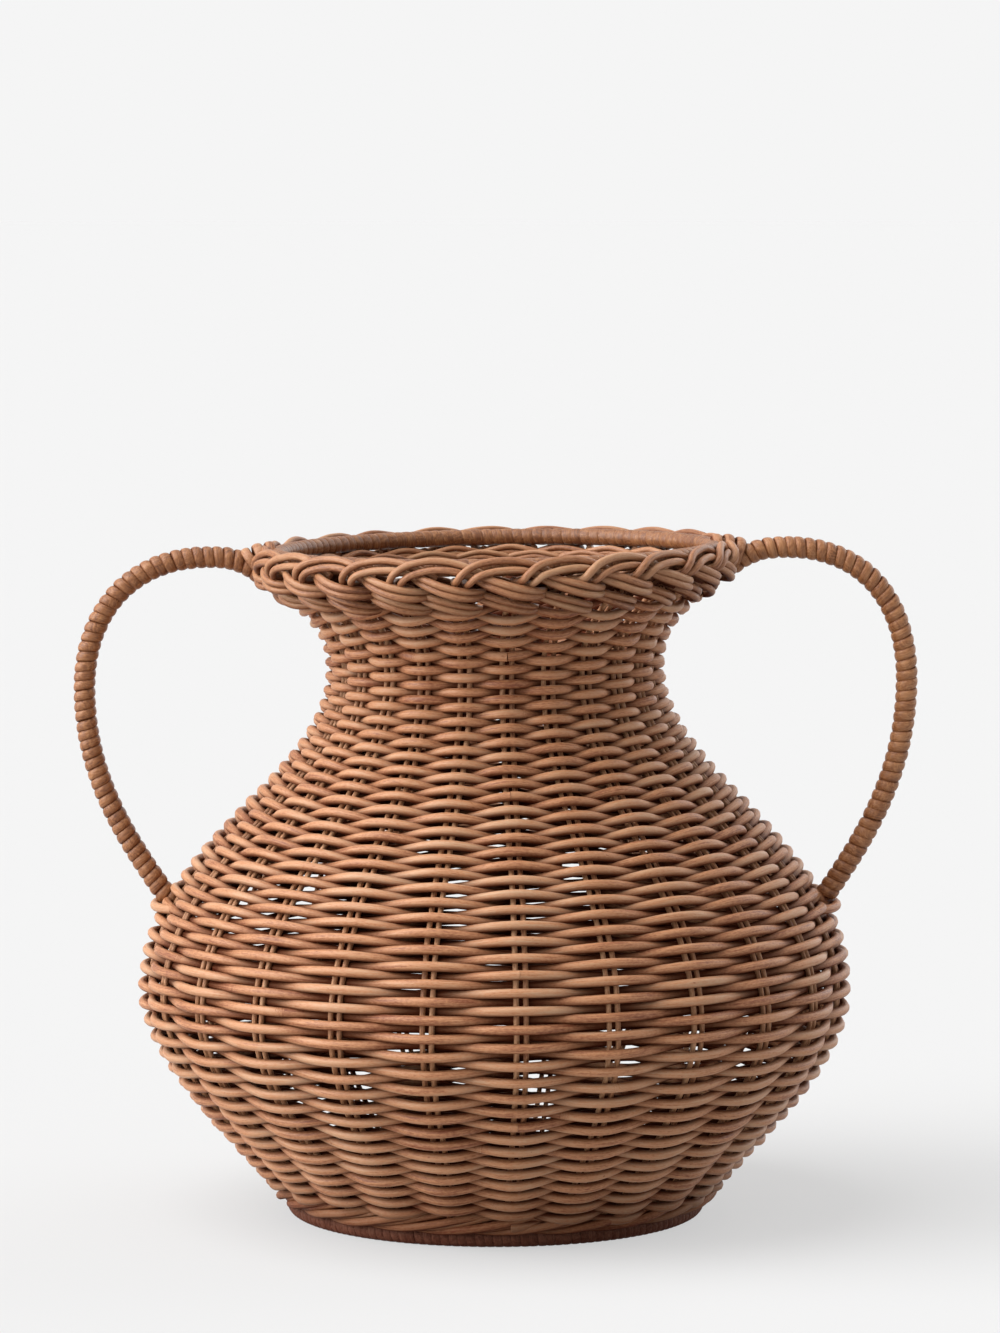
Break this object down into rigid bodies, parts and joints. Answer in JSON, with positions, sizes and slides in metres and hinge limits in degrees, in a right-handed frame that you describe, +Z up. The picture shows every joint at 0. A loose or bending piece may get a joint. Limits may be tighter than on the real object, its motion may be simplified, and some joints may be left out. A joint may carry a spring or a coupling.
{
  "type": "woven vase",
  "caption": "Round-bellied woven cane vase with a narrow neck, a flared plaited rim and a wrapped loop handle on each side.",
  "frame": {"origin": "middle of the underside, on the surface that the vase stands on", "axes": "+Z up; +X through the handle on the right of the front view; -Y is the front"},
  "size_m": [0.3798, 0.3213, 0.3069],
  "materials": {
    "weave": "round cane, smoked and stained warm brown, satin",
    "stakes": "thin round cane rods, stained brown, dull",
    "plait": "round cane, lighter warm brown, satin",
    "rim_wrapping": "flat cane strip wound round the hoop, satin",
    "foot_wrapping": "flat cane strip, darkened reddish brown, dull",
    "handle_wrapping": "rounded cane strip wound close, satin",
    "base": "unstained to brown cane, dull"
  },
  "bodies": {
    "root": {"base_weave": "base", "base_stick_along_1": "stakes", "base_stick_along_2": "stakes", "base_stick_along_3": "stakes", "base_stick_across_1": "stakes", "base_stick_across_2": "stakes", "base_stick_across_3": "stakes", "foot_hoop_core": "base", "foot_hoop_wrap": "foot_wrapping", "foot_wale": "weave", "lower_weave": "weave", "belly_weave": "weave", "shoulder_weave": "weave", "neck_weave": "weave", "flare_weave": "weave", "rim_plait": "plait", "rim_hoop_core": "base", "rim_hoop_wrap": "rim_wrapping", "handle_core_left": "stakes", "handle_core_right": "stakes", "handle_wrap_left": "handle_wrapping", "handle_wrap_right": "handle_wrapping", "stake_pair_01": "stakes", "stake_pair_02": "stakes", "stake_pair_03": "stakes", "stake_pair_04": "stakes", "stake_pair_05": "stakes", "stake_pair_06": "stakes", "stake_pair_07": "stakes", "stake_pair_08": "stakes", "stake_pair_09": "stakes", "stake_pair_10": "stakes", "stake_pair_11": "stakes", "stake_pair_12": "stakes", "stake_pair_13": "stakes", "stake_pair_14": "stakes", "stake_pair_15": "stakes", "stake_pair_16": "stakes", "stake_pair_17": "stakes", "stake_pair_18": "stakes", "stake_pair_19": "stakes", "stake_pair_20": "stakes", "stake_pair_21": "stakes", "stake_pair_22": "stakes", "stake_pair_23": "stakes", "stake_pair_24": "stakes"}
  },
  "joints": []
}
